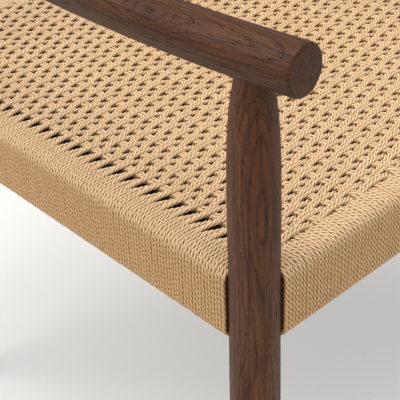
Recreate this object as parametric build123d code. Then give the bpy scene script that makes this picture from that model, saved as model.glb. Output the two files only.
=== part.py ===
from build123d import *
import os
from math import asin, atan2, cos, degrees, hypot, radians, sin, sqrt, tan

# A round-legged oak easy chair with arms and a woven paper-cord seat, in millimetres.
# +X is the sitter's left, -Y is the front and +Z is up. While it is built, y = 0 is the line
# through the two front legs and z = 0 is the floor; at the end everything is moved so that the
# origin is at the middle of the whole chair's footprint.

# Overall sizes
FRONT_SPAN = 590.0          # between the front leg axes
REAR_SPAN = 550.0           # between the rear leg axes, at the seat
SEAT_RUN = 490.0            # from the front leg axes to the rear leg axes
SEAT_HEIGHT = 405.0         # top of the cord on the seat rails
ARM_ABOVE_SEAT = 157.0      # arm axis above the seat cord, at the front leg
CREST_ABOVE_SEAT = 330.0    # top of the rear posts above the seat cord

# Legs
LEG_RADIUS_RAIL = 17.5      # where the seat rails join
LEG_RADIUS_BELLY = 18.2     # fullest part, below the seat
LEG_BELLY_DROP = 105.0      # fullest part, below the seat cord
LEG_RADIUS_FOOT = 12.5
LEG_CALF_HEIGHT = 0.42      # share of the way from the foot to the fullest part
LEG_CALF_FULL = 1.0         # fuller there than halfway between the two radii
LEG_RADIUS_SHOULDER = 17.0  # where the front leg starts to narrow under the arm
LEG_SHOULDER_DROP = 68.0    # shoulder below the arm axis
LEG_RADIUS_NECK = 12.2      # front leg under the arm
LEG_NECK_BEND = 0.58        # share of the way from the shoulder to the neck
LEG_NECK_DROP = 0.36        # share of the narrowing that is done there
LEG_FLAT = 12.0             # leg axis to the flat that a rail's shoulder sits on
FLAT_MARGIN = 0.4           # flat taller than the corded rail, above and below

# Rear posts, which bend backwards and inwards above the seat
POST_BEND_START = 14.0      # above the seat cord
POST_BEND_RADIUS = 220.0
POST_LEAN_BACK = 14.0       # degrees
POST_LEAN_IN = 7.5          # degrees
POST_RADIUS_TOP = 13.5
POST_TOP_ROUND = 5.0

# Arms
ARM_RADIUS = 17.0
ARM_FRONT_REACH = 39.0      # end face in front of the leg axis
ARM_BOW_RADIUS = 1450.0
ARM_TOE_OUT = 2.9           # degrees outwards at the front leg
ARM_SLOPE = 1.2             # degrees downwards to the rear
ARM_END_ROUND = 2.4
ARM_END_SHORT = 6.0         # end of the bar in front of the rear post's axis

# Seat rails and cord
RAIL_THICK = 22.0
RAIL_HIGH = 52.0
RAIL_ROUND = 6.0
CORD = 3.4                  # cord diameter
RAIL_OFFSET = 2.85          # leg axis line to the rail's middle, outwards
WRAP_CLEAR = 0.1            # between the cord and the wood
WRAP_END_CLEAR = 0.3        # between the last turn and the leg's flat
WRAP_UNDER_LIP = 24.0       # cord up the rail's inner face from below
WEFT_PITCH = 6.7            # a pair of cords, front to back
WARP_PITCH = 22.35          # warp pair to warp pair, across the seat
WEAVE_THICK = 8.8
WEAVE_PROUD = 3.0           # highest cords above the cord on the rails
WEAVE_SAG = 6.0
WEAVE_CLEAR = 0.5

# Dark board under the weave, held in grooves in the rails' inner faces
LINING_THICK = 1.6
LINING_IN_GROOVE = 1.5
LINING_DROP = 15.0          # its top below the rail's top
LINING_FIT = 0.1

# Joinery
DOWEL_RADIUS = 4.0
DOWEL_FIT = 0.05            # radial room for glue
DOWEL_END_ROOM = 1.0        # empty length in each hole
DOWEL_IN_LEG = 17.0
DOWEL_IN_RAIL = 21.0
DOWEL_FIRST = 10.5          # below the rail's top
DOWEL_STEP = 11.0           # front rail and side rail dowels take turns down the leg
BACK_DOWEL_IN_POST = 12.0
BACK_DOWEL_IN_SLAT = 20.0
ARM_TENON_RADIUS = 7.0      # front leg's tenon into the arm
ARM_TENON_HIGH = 26.0       # from the arm's underside
ARM_REAR_TENON_RADIUS = 8.0
ARM_REAR_TENON = 16.0       # into the post, from its axis-side surface
TENON_FIT = 0.05
SCREW_RADIUS = 2.4
SCREW_HEAD_RADIUS = 4.4
SCREW_HEAD = 3.0
SCREW_IN_ARM = 34.0         # from the post axis
SCREW_SEAT = 5.0            # post axis to the underside of the head
PLUG_RADIUS = 5.0
PLUG_GAP = 0.5

# Back slats
SLAT_THICK = 18.0
SLAT_BOW = 46.0             # the middle behind the ends
SLAT_ROUND = 6.0
SLAT_TOP_HIGH = 104.0
SLAT_TOP_CENTRE = 258.0     # above the seat cord
SLAT_LOW_HIGH = 52.0
SLAT_LOW_CENTRE = 118.0

# Cord nails
NAIL_RADIUS = 0.9
NAIL_IN_RAIL = 14.0
NAIL_OUT = 5.0
NAIL_HOOK = 5.0
NAIL_BEND = 2.0             # radius of the nail's own bend
NAIL_DROP = 25.0            # below the rail's top
NAIL_FIT = 0.05
NAIL_DOWEL_ROOM = 3.0       # first nail's axis past the end of the dowel holes

# Glides
GLIDE_RADIUS = 10.5
GLIDE_THICK = 5.0
GLIDE_ROUND = 1.2
GLIDE_PIN_RADIUS = 3.0
GLIDE_PIN = 12.0
GLIDE_FIT = 0.05

# Places that follow from the sizes above
RAIL_OUT = RAIL_THICK / 2 + RAIL_OFFSET     # leg axis line to the rail's outer wood face
RAIL_TOP = SEAT_HEIGHT - CORD
RAIL_BOTTOM = RAIL_TOP - RAIL_HIGH
ARM_Z = SEAT_HEIGHT + ARM_ABOVE_SEAT
BEND_Z = SEAT_HEIGHT + POST_BEND_START
LEG_FRONT_X = FRONT_SPAN / 2
LEG_REAR_X = REAR_SPAN / 2
SIDE_ANGLE = degrees(atan2(LEG_FRONT_X - LEG_REAR_X, SEAT_RUN))
SIDE_LENGTH = hypot(SEAT_RUN, LEG_FRONT_X - LEG_REAR_X)
TALL = 2 * SEAT_HEIGHT                      # longer than anything that it cuts

# The rear post's lean, as one tilt in one upright plane
LEAN_X = tan(radians(POST_LEAN_IN))
LEAN_Y = tan(radians(POST_LEAN_BACK))
LEAN = degrees(atan2(hypot(LEAN_X, LEAN_Y), 1))
LEAN_TURN = degrees(atan2(LEAN_Y, -LEAN_X))
BEND_RISE = POST_BEND_RADIUS * sin(radians(LEAN))
BEND_SHIFT = POST_BEND_RADIUS * (1 - cos(radians(LEAN)))


def rod(radius, length, start, direction):
    """A plain cylinder from a start point along a direction."""
    plane = Plane(origin=start, z_dir=direction)
    return plane * Cylinder(radius, length, align=(Align.CENTER, Align.CENTER, Align.MIN))


def turned(points):
    """A solid of revolution about Z from (radius, z) points of a smooth side."""
    side = Spline(*[(r, 0, z) for r, z in points])
    low, high = points[0][1], points[-1][1]
    ends = Polyline((points[-1][0], 0, high), (0, 0, high), (0, 0, low), (points[0][0], 0, low))
    return revolve(make_face([side, ends]), Axis.Z)


def lower_leg_points(top_z, top_radius):
    """The side of a leg from its foot to the given height above the rails."""
    belly = SEAT_HEIGHT - LEG_BELLY_DROP
    calf = (LEG_RADIUS_FOOT + LEG_RADIUS_BELLY) / 2 + LEG_CALF_FULL
    return [
        (LEG_RADIUS_FOOT, GLIDE_THICK),
        (calf, GLIDE_THICK + LEG_CALF_HEIGHT * (belly - GLIDE_THICK)),
        (LEG_RADIUS_BELLY, belly),
        (LEG_RADIUS_RAIL, SEAT_HEIGHT),
        (top_radius, top_z),
    ]


def flat_cutter(origin_x, origin_y, direction):
    """The block that leaves a flat on a leg for one corded rail."""
    size = 4 * LEG_RADIUS_RAIL
    high = RAIL_HIGH + 2 * (CORD + WRAP_CLEAR + FLAT_MARGIN)
    middle = (RAIL_TOP + RAIL_BOTTOM) / 2
    plane = Plane(origin=(origin_x, origin_y, middle), x_dir=direction, z_dir=(0, 0, 1))
    block = Box(size, size, high, align=(Align.MIN, Align.CENTER, Align.CENTER))
    return plane * Pos(LEG_FLAT, 0, 0) * block


def dowel_rods(origin_x, origin_y, direction, first_drop, extra_radius, extra_end):
    """Two dowels, or their holes, between a leg and the rail that leaves it."""
    rods = []
    for drop in (first_drop, first_drop + 2 * DOWEL_STEP):
        along = LEG_FLAT - DOWEL_IN_LEG - extra_end
        start = (
            origin_x + along * direction[0],
            origin_y + along * direction[1],
            RAIL_TOP - drop,
        )
        length = DOWEL_IN_LEG + DOWEL_IN_RAIL + 2 * extra_end
        rods.append(rod(DOWEL_RADIUS + extra_radius, length, start, direction))
    return rods


def dowel_holes(joint):
    return dowel_rods(*joint, DOWEL_FIT, DOWEL_END_ROOM)


# Each joint of a right-hand leg: its place, the rail's direction and the first dowel's drop
SIDE_DIR = (sin(radians(SIDE_ANGLE)), cos(radians(SIDE_ANGLE)), 0)
BACK_DIR = (-SIDE_DIR[0], -SIDE_DIR[1], 0)
INWARD = (1, 0, 0)
JOINTS = {
    "front_across": (-LEG_FRONT_X, 0, INWARD, DOWEL_FIRST),
    "front_side": (-LEG_FRONT_X, 0, SIDE_DIR, DOWEL_FIRST + DOWEL_STEP),
    "rear_across": (-LEG_REAR_X, SEAT_RUN, INWARD, DOWEL_FIRST),
    "rear_side": (-LEG_REAR_X, SEAT_RUN, BACK_DIR, DOWEL_FIRST + DOWEL_STEP),
}


def glide_for(leg_x, leg_y):
    """A nylon glide with its pin, under one leg."""
    foot = Cylinder(GLIDE_RADIUS, GLIDE_THICK, align=(Align.CENTER, Align.CENTER, Align.MIN))
    foot = fillet(foot.edges().group_by(Axis.Z)[0], GLIDE_ROUND)
    pin = rod(GLIDE_PIN_RADIUS, GLIDE_PIN, (0, 0, GLIDE_THICK), (0, 0, 1))
    return Pos(leg_x, leg_y, 0) * (foot + pin)


def glide_hole(leg_x, leg_y):
    start = (leg_x, leg_y, GLIDE_THICK)
    return rod(GLIDE_PIN_RADIUS + GLIDE_FIT, GLIDE_PIN + DOWEL_END_ROOM, start, (0, 0, 1))


def post_point(z):
    """The right post's axis at a height above its bend."""
    rise = z - BEND_Z - BEND_RISE
    shift = BEND_SHIFT + rise * tan(radians(LEAN))
    turn = radians(LEAN_TURN)
    return Vector(-LEG_REAR_X - shift * cos(turn), SEAT_RUN + shift * sin(turn), z)


def post_direction():
    turn = radians(LEAN_TURN)
    tilt = radians(LEAN)
    return Vector(-sin(tilt) * cos(turn), sin(tilt) * sin(turn), cos(tilt))


def arm_rear_point():
    """Where the arm's sloping centre line meets the right rear post's axis."""
    level = post_point(ARM_Z)
    slope = tan(radians(ARM_SLOPE))
    y = level.Y / (1 + slope * post_direction().Y / post_direction().Z)
    return post_point(ARM_Z - y * slope)


def arm_path():
    """The right arm's centre line, flat, with the front leg axis at the origin.

    It is a long bow that passes over the front leg, then a straight run that is tangent to
    the bow and aims at the rear post's axis.
    """
    toe = radians(ARM_TOE_OUT)
    # centre of the bow, on the inner side of the arm
    cx = ARM_BOW_RADIUS * cos(toe)
    cy = ARM_BOW_RADIUS * sin(toe)
    goal = arm_rear_point()
    px = goal.X + LEG_FRONT_X
    py = goal.Y / cos(radians(ARM_SLOPE))
    run = sqrt((px - cx) ** 2 + (py - cy) ** 2 - ARM_BOW_RADIUS**2)
    first = -toe - ARM_FRONT_REACH / ARM_BOW_RADIUS
    last = atan2(py - cy, cx - px) - atan2(run, ARM_BOW_RADIUS)

    def on_bow(turn):
        return (cx - ARM_BOW_RADIUS * cos(turn), cy + ARM_BOW_RADIUS * sin(turn))

    bow = ThreePointArc(on_bow(first), on_bow((first + last) / 2), on_bow(last))
    start = on_bow(last)
    length = run - ARM_END_SHORT
    end = (start[0] + length * sin(last), start[1] + length * cos(last))
    return bow, Line(start, end), (sin(first), cos(first))


def place_arm(piece):
    return Pos(-LEG_FRONT_X, 0, ARM_Z) * Rot(-ARM_SLOPE, 0, 0) * piece


def make_rear_leg():
    """The right rear leg: turned below, bent above the seat and tapered to its top."""
    below = turned(lower_leg_points(BEND_Z, LEG_RADIUS_SHOULDER))
    circle = Plane(origin=(0, 0, BEND_Z)) * Circle(LEG_RADIUS_SHOULDER)
    end = (BEND_SHIFT, 0, BEND_Z + BEND_RISE)
    half = radians(LEAN / 2)
    middle = (POST_BEND_RADIUS * (1 - cos(half)), 0, BEND_Z + POST_BEND_RADIUS * sin(half))
    bend = sweep(circle, path=ThreePointArc((0, 0, BEND_Z), middle, end))
    tilt = radians(LEAN)
    length = (SEAT_HEIGHT + CREST_ABOVE_SEAT - end[2]) / cos(tilt)
    upper = Plane(origin=end, z_dir=(sin(tilt), 0, cos(tilt))) * Cone(
        LEG_RADIUS_SHOULDER, POST_RADIUS_TOP, length, align=(Align.CENTER, Align.CENTER, Align.MIN)
    )
    top_edge = upper.edges().sort_by(Axis.Z)[-1]
    upper = fillet(top_edge, POST_TOP_ROUND)
    leg = below + bend + upper
    return Pos(-LEG_REAR_X, SEAT_RUN, 0) * Rot(0, 0, 180 - LEAN_TURN) * leg


def make_front_leg(arm):
    """The right front leg, with its neck coped to the arm and its tenon."""
    neck_z = ARM_Z - ARM_RADIUS
    shoulder = ARM_Z - LEG_SHOULDER_DROP
    points = lower_leg_points(shoulder, LEG_RADIUS_SHOULDER)
    bend_z = shoulder + LEG_NECK_BEND * (neck_z - shoulder)
    bend_radius = LEG_RADIUS_SHOULDER - LEG_NECK_DROP * (LEG_RADIUS_SHOULDER - LEG_RADIUS_NECK)
    points += [(bend_radius, bend_z), (LEG_RADIUS_NECK, neck_z)]
    leg = turned(points)
    leg += rod(LEG_RADIUS_NECK, ARM_RADIUS, (0, 0, neck_z), (0, 0, 1))
    leg = Pos(-LEG_FRONT_X, 0, 0) * leg - arm
    leg = leg.solids().sort_by(SortBy.VOLUME)[-1]
    start = (-LEG_FRONT_X, 0, neck_z - ARM_RADIUS)
    return leg + rod(ARM_TENON_RADIUS, ARM_RADIUS + ARM_TENON_HIGH, start, (0, 0, 1))


def rail_bar(length, thick, high, rounding):
    bar = Box(length, thick, high)
    return fillet(bar.edges().filter_by(Axis.X), rounding)


def rail_plane(start_x, start_y, direction):
    """A rail's own axes: x along it, y to the inside of the seat, at its middle height."""
    middle = (RAIL_TOP + RAIL_BOTTOM) / 2
    return Plane(origin=(start_x, start_y, middle), x_dir=direction, z_dir=(0, 0, 1))


def make_rail(plane, span, inside):
    """A seat rail between two flats. inside is +1 or -1, the inner side along the plane's y."""
    bar = rail_bar(span - 2 * LEG_FLAT, RAIL_THICK, RAIL_HIGH, RAIL_ROUND)
    return plane * Pos(span / 2, inside * (RAIL_THICK / 2 - RAIL_OUT), 0) * bar


def make_wrap(plane, span, inside):
    """The cord round a rail: outer face, top, bottom and the lower part of the inner face."""
    length = span - 2 * (LEG_FLAT + WRAP_END_CLEAR)
    grow = 2 * (CORD + WRAP_CLEAR)
    outer = rail_bar(length, RAIL_THICK + grow, RAIL_HIGH + grow, RAIL_ROUND + CORD)
    room = 2 * WRAP_CLEAR
    core = rail_bar(length + 1, RAIL_THICK + room, RAIL_HIGH + room, RAIL_ROUND)
    mouth_high = RAIL_HIGH + grow - (WRAP_UNDER_LIP + CORD)
    mouth = Box(length + 1, RAIL_THICK, mouth_high)
    mouth_y = inside * RAIL_THICK
    mouth_z = (RAIL_HIGH + grow - mouth_high) / 2
    shell = outer - core - Pos(0, mouth_y, mouth_z - CORD) * mouth
    return plane * Pos(span / 2, inside * (RAIL_THICK / 2 - RAIL_OUT), 0) * shell


def nail_places(span, pitch):
    room = span - 2 * (LEG_FLAT + DOWEL_IN_RAIL + DOWEL_END_ROOM + NAIL_DOWEL_ROOM)
    count = int(room / pitch)
    first = (span - count * pitch) / 2
    return [first + index * pitch for index in range(count + 1)]


def make_nails(plane, span, inside, pitch):
    """A row of L-shaped cord nails in a rail's inner face, as separate solids."""
    face = inside * (RAIL_THICK - RAIL_OUT)
    z = RAIL_HIGH / 2 - NAIL_DROP
    start = (0, face - inside * NAIL_IN_RAIL, z)
    knee = (0, face + inside * NAIL_OUT, z)
    tip = (0, face + inside * NAIL_OUT, z + NAIL_HOOK)
    line = FilletPolyline(start, knee, tip, radius=NAIL_BEND)
    nail = sweep(Plane(origin=start, z_dir=(0, inside, 0)) * Circle(NAIL_RADIUS), path=line)
    return [plane * Pos(x, 0, 0) * nail for x in nail_places(span, pitch)]


def nail_holes(plane, span, inside, pitch):
    face = inside * (RAIL_THICK - RAIL_OUT)
    z = RAIL_HIGH / 2 - NAIL_DROP
    deep = NAIL_IN_RAIL + NAIL_FIT
    holes = []
    for x in nail_places(span, pitch):
        start = (x, face - inside * deep, z)
        holes.append(plane * rod(NAIL_RADIUS + NAIL_FIT, deep + 1, start, (0, inside, 0)))
    return holes


def make_slat(high, centre_above_seat):
    """A curved back slat that reaches both post axes, and its two end directions."""
    z = SEAT_HEIGHT + centre_above_seat
    end = post_point(z)
    half = -end.X
    radius = (half**2 + SLAT_BOW**2) / (2 * SLAT_BOW)
    turn = asin(half / radius)
    inner, outer = radius - SLAT_THICK / 2, radius + SLAT_THICK / 2

    def at(r, a):
        return (r * sin(a), r * cos(a))

    near = ThreePointArc(at(inner, -turn), at(inner, 0), at(inner, turn))
    far = ThreePointArc(at(outer, -turn), at(outer, 0), at(outer, turn))
    sides = [Line(at(inner, -turn), at(outer, -turn)), Line(at(inner, turn), at(outer, turn))]
    band = extrude(make_face([near, far, *sides]), high / 2, both=True)
    long_edges = [e for e in band.edges() if e.length > half]
    band = fillet(long_edges, SLAT_ROUND)
    plane = Plane(origin=(0, end.Y, z)) * Rot(-POST_LEAN_BACK, 0, 0)
    band = plane * Pos(0, -radius * cos(turn), 0) * band
    direction = (Rot(-POST_LEAN_BACK, 0, 0) * Pos(cos(turn), sin(turn), 0)).position
    up = (Rot(-POST_LEAN_BACK, 0, 0) * Pos(0, 0, 1)).position
    return band, end, direction, up


def slat_dowels(end, direction, up, offset, extra_radius, extra_end):
    """Two dowels, or their holes, between the right post and a slat."""
    rods = []
    for side in (-1, 1):
        along = POST_RADIUS_TOP - BACK_DOWEL_IN_POST - extra_end
        start = end + direction * along + up * (side * offset)
        length = BACK_DOWEL_IN_POST + BACK_DOWEL_IN_SLAT + 2 * extra_end
        rods.append(rod(DOWEL_RADIUS + extra_radius, length, start, direction))
    return rods


def inside_block(inward, low_z, thick):
    """A flat block that fills the seat's inside up to a distance from the leg axis lines."""
    near_y, far_y = inward, SEAT_RUN - inward
    corners = []
    for side, y in ((-1, near_y), (1, near_y), (1, far_y), (-1, far_y)):
        x = LEG_FRONT_X - y * tan(radians(SIDE_ANGLE)) - inward / cos(radians(SIDE_ANGLE))
        corners.append((side * x, y))
    return Pos(0, 0, low_z) * extrude(make_face(Polyline(*corners, close=True)), thick)


def cut(piece, cutters):
    """A piece less its cutters, as one solid."""
    whole = piece - cutters
    return whole.solids().sort_by(SortBy.VOLUME)[-1]


def mirrored(shape):
    return mirror(shape, Plane.YZ)


# Arm and legs of the right-hand side; the left-hand side mirrors them
bow, straight, start_heading = arm_path()
arm_circle = Plane(origin=bow @ 0, z_dir=(*start_heading, 0)) * Circle(ARM_RADIUS)
arm_bar = sweep(arm_circle, path=Wire([bow, straight]))
front_rim = arm_bar.edges().sort_by(Axis.Y)[0]
arm_bar = place_arm(fillet(front_rim, ARM_END_ROUND))

rear_leg = make_rear_leg()
front_leg = make_front_leg(arm_bar)

# Rear end of the arm: coped round the post, with a tenon in line with the arm's straight run
arm_heading = (Rot(-ARM_SLOPE, 0, 0) * Pos(*(straight % 1))).position
arm_end = arm_rear_point()
tenon_start = arm_end - arm_heading * (LEG_RADIUS_SHOULDER * 2)
tenon_length = LEG_RADIUS_SHOULDER + ARM_REAR_TENON
arm = cut(arm_bar, rear_leg)
arm = arm + rod(ARM_REAR_TENON_RADIUS, tenon_length, tenon_start, arm_heading)
arm_bore = rod(
    ARM_TENON_RADIUS + TENON_FIT,
    2 * ARM_RADIUS + ARM_TENON_HIGH - ARM_RADIUS + DOWEL_END_ROOM,
    (-LEG_FRONT_X, 0, ARM_Z - 2 * ARM_RADIUS),
    (0, 0, 1),
)
post_bore = rod(
    ARM_REAR_TENON_RADIUS + TENON_FIT, tenon_length + DOWEL_END_ROOM, tenon_start, arm_heading
)

# The screw that draws the arm to the post from behind, and its plug
screw_start = arm_end - arm_heading * SCREW_IN_ARM
screw_shank = rod(SCREW_RADIUS, SCREW_IN_ARM + SCREW_SEAT, screw_start, arm_heading)
head_start = arm_end + arm_heading * SCREW_SEAT
screw = screw_shank + rod(SCREW_HEAD_RADIUS, SCREW_HEAD, head_start, arm_heading)
plug_start = head_start + arm_heading * (SCREW_HEAD + PLUG_GAP)
plug_rod = rod(PLUG_RADIUS, 2 * LEG_RADIUS_SHOULDER, plug_start, arm_heading)
plug = plug_rod & rear_leg
screw_way = [
    rod(SCREW_RADIUS, SCREW_IN_ARM + SCREW_SEAT + 1, screw_start, arm_heading),
    rod(PLUG_RADIUS, 3 * LEG_RADIUS_SHOULDER, head_start, arm_heading),
]
arm = cut(arm, [arm_bore, screw_way[0]])

# Back slats, which meet the posts on dowels
slats = {
    "back_slat_upper": (SLAT_TOP_HIGH, SLAT_TOP_CENTRE),
    "back_slat_lower": (SLAT_LOW_HIGH, SLAT_LOW_CENTRE),
}
nodes = {}
back_dowels = []
post_cutters = []
for name, (high, centre) in slats.items():
    band, end, direction, up = make_slat(high, centre)
    offset = high / 2 - SLAT_ROUND - 2 * DOWEL_RADIUS
    pins = slat_dowels(end, direction, up, offset, 0, 0)
    holes = slat_dowels(end, direction, up, offset, DOWEL_FIT, DOWEL_END_ROOM)
    back_dowels += pins + [mirrored(pin) for pin in pins]
    post_cutters += holes
    both_holes = holes + [mirrored(hole) for hole in holes]
    nodes[name] = cut(band, [rear_leg, mirrored(rear_leg), *both_holes])

rear_leg = cut(
    rear_leg,
    [
        flat_cutter(-LEG_REAR_X, SEAT_RUN, INWARD),
        flat_cutter(-LEG_REAR_X, SEAT_RUN, BACK_DIR),
        glide_hole(-LEG_REAR_X, SEAT_RUN),
        post_bore,
        *screw_way,
        *post_cutters,
        *dowel_holes(JOINTS["rear_across"]),
        *dowel_holes(JOINTS["rear_side"]),
    ],
)
front_leg = cut(
    front_leg,
    [
        flat_cutter(-LEG_FRONT_X, 0, INWARD),
        flat_cutter(-LEG_FRONT_X, 0, SIDE_DIR),
        glide_hole(-LEG_FRONT_X, 0),
        *dowel_holes(JOINTS["front_across"]),
        *dowel_holes(JOINTS["front_side"]),
    ],
)

# The board under the weave, and the block that cuts its grooves
leg_room = LEG_RADIUS_RAIL + WEAVE_CLEAR
leg_places = [(-LEG_FRONT_X, 0), (LEG_FRONT_X, 0), (-LEG_REAR_X, SEAT_RUN), (LEG_REAR_X, SEAT_RUN)]
round_legs = [rod(leg_room, TALL, (x, y, 0), (0, 0, 1)) for x, y in leg_places]
lining_edge = RAIL_THICK - RAIL_OUT - LINING_IN_GROOVE
lining_z = RAIL_TOP - LINING_DROP - LINING_THICK
nodes["seat_lining"] = cut(inside_block(lining_edge, lining_z, LINING_THICK), round_legs)
groove_block = inside_block(
    lining_edge - LINING_FIT, lining_z - LINING_FIT, LINING_THICK + 2 * LINING_FIT
)

# Rails, their cord and their nails
front_plane = rail_plane(-LEG_FRONT_X, 0, INWARD)
rear_plane = rail_plane(-LEG_REAR_X, SEAT_RUN, INWARD)
side_plane = rail_plane(-LEG_FRONT_X, 0, SIDE_DIR)
rails = {
    "front": (front_plane, FRONT_SPAN, 1, WARP_PITCH, ["front_across"]),
    "rear": (rear_plane, REAR_SPAN, -1, WARP_PITCH, ["rear_across"]),
    "right": (side_plane, SIDE_LENGTH, -1, 2 * WEFT_PITCH, ["front_side", "rear_side"]),
}
for name, (plane, span, inside, pitch, joints) in rails.items():
    holes = [hole for joint in joints for hole in dowel_holes(JOINTS[joint])]
    pins = [pin for joint in joints for pin in dowel_rods(*JOINTS[joint], 0, 0)]
    if name != "right":
        holes += [mirrored(hole) for hole in holes]
        pins += [mirrored(pin) for pin in pins]
    holes += nail_holes(plane, span, inside, pitch)
    holes.append(groove_block)
    nodes[f"seat_rail_{name}"] = cut(make_rail(plane, span, inside), holes)
    nodes[f"rail_dowels_{name}"] = Compound(pins)
    nodes[f"cord_wrap_{name}"] = make_wrap(plane, span, inside)
    nodes[f"cord_nails_{name}"] = Compound(make_nails(plane, span, inside, pitch))
for kind in ("seat_rail", "rail_dowels", "cord_wrap", "cord_nails"):
    nodes[f"{kind}_left"] = mirrored(nodes[f"{kind}_right"])

# Woven field between the rails, dished by its own sag
field_edge = RAIL_THICK - RAIL_OUT + WRAP_CLEAR + CORD + WEAVE_CLEAR
field_top = SEAT_HEIGHT + WEAVE_PROUD
field_low = field_top - WEAVE_THICK - WEAVE_SAG
prism = inside_block(field_edge, field_low, field_top - field_low)
dish_radius = (SEAT_RUN / 2) ** 2 / (2 * WEAVE_SAG)
dish_z = field_top - WEAVE_SAG + dish_radius
dish = Pos(0, SEAT_RUN / 2, dish_z) * Sphere(dish_radius)
under = Pos(0, SEAT_RUN / 2, dish_z - WEAVE_THICK) * Sphere(dish_radius)
nodes["seat_weave"] = cut(prism & under, [dish, *round_legs])

# Glides and the pieces that mirror
nodes["leg_front_right"] = front_leg
nodes["leg_rear_right"] = rear_leg
nodes["arm_right"] = arm
nodes["glide_front_right"] = glide_for(-LEG_FRONT_X, 0)
nodes["glide_rear_right"] = glide_for(-LEG_REAR_X, SEAT_RUN)
for name in ("leg_front", "leg_rear", "arm", "glide_front", "glide_rear"):
    nodes[f"{name}_left"] = mirrored(nodes[f"{name}_right"])
nodes["back_dowels"] = Compound(back_dowels)
nodes["arm_screws"] = Compound([screw, mirrored(screw)])
nodes["arm_screw_plugs"] = Compound([plug.solids()[0], mirrored(plug.solids()[0])])

# The origin goes to the middle of the footprint
whole = Compound([solid for node in nodes.values() for solid in node.solids()]).bounding_box()
middle_y = (whole.min.Y + whole.max.Y) / 2
os.makedirs("parts", exist_ok=True)
for name, node in nodes.items():
    placed = Pos(0, -middle_y, 0) * node
    export_step(placed, f"parts/{name}.step")
print("nodes", len(nodes), "size", whole.size, "front leg axes at y", -middle_y)
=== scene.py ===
"""Looks, light and camera of a low oak armchair with a woven paper-cord seat.

Lengths are in metres. The chair's right front corner is nearest the camera: +X is the sitter's
left, -Y is the front and +Z is up.
"""

import logging
import math
from dataclasses import dataclass, field
from enum import Enum
from typing import Sequence

import bpy
import numpy as np
from mathutils import Matrix, Vector


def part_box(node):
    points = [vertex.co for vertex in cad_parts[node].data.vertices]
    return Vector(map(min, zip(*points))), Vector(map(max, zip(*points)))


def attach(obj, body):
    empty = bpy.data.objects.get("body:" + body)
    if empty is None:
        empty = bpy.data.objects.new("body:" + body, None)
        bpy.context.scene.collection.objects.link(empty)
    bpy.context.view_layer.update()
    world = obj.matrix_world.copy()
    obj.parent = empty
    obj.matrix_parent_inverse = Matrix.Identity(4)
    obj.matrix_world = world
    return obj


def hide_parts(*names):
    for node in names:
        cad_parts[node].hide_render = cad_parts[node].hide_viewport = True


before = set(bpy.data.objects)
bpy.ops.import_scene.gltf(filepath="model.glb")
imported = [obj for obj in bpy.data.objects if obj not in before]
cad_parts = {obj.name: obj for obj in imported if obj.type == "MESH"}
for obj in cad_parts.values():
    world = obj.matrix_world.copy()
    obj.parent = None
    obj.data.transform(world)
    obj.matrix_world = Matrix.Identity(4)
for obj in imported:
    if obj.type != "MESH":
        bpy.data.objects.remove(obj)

log = logging.getLogger("armchair")

MM = 0.001
Colour = tuple[float, float, float]
Point = tuple[float, float, float]
Socket = bpy.types.NodeSocket


class Grain(Enum):
    """The direction in which a wooden piece's grain runs."""

    UP = (0.0, 0.0, 0.0)
    ACROSS = (0.0, math.pi / 2, 0.0)
    ALONG = (math.pi / 2, 0.0, 0.0)


# --------------------------------------------------------------------------- node helpers


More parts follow.
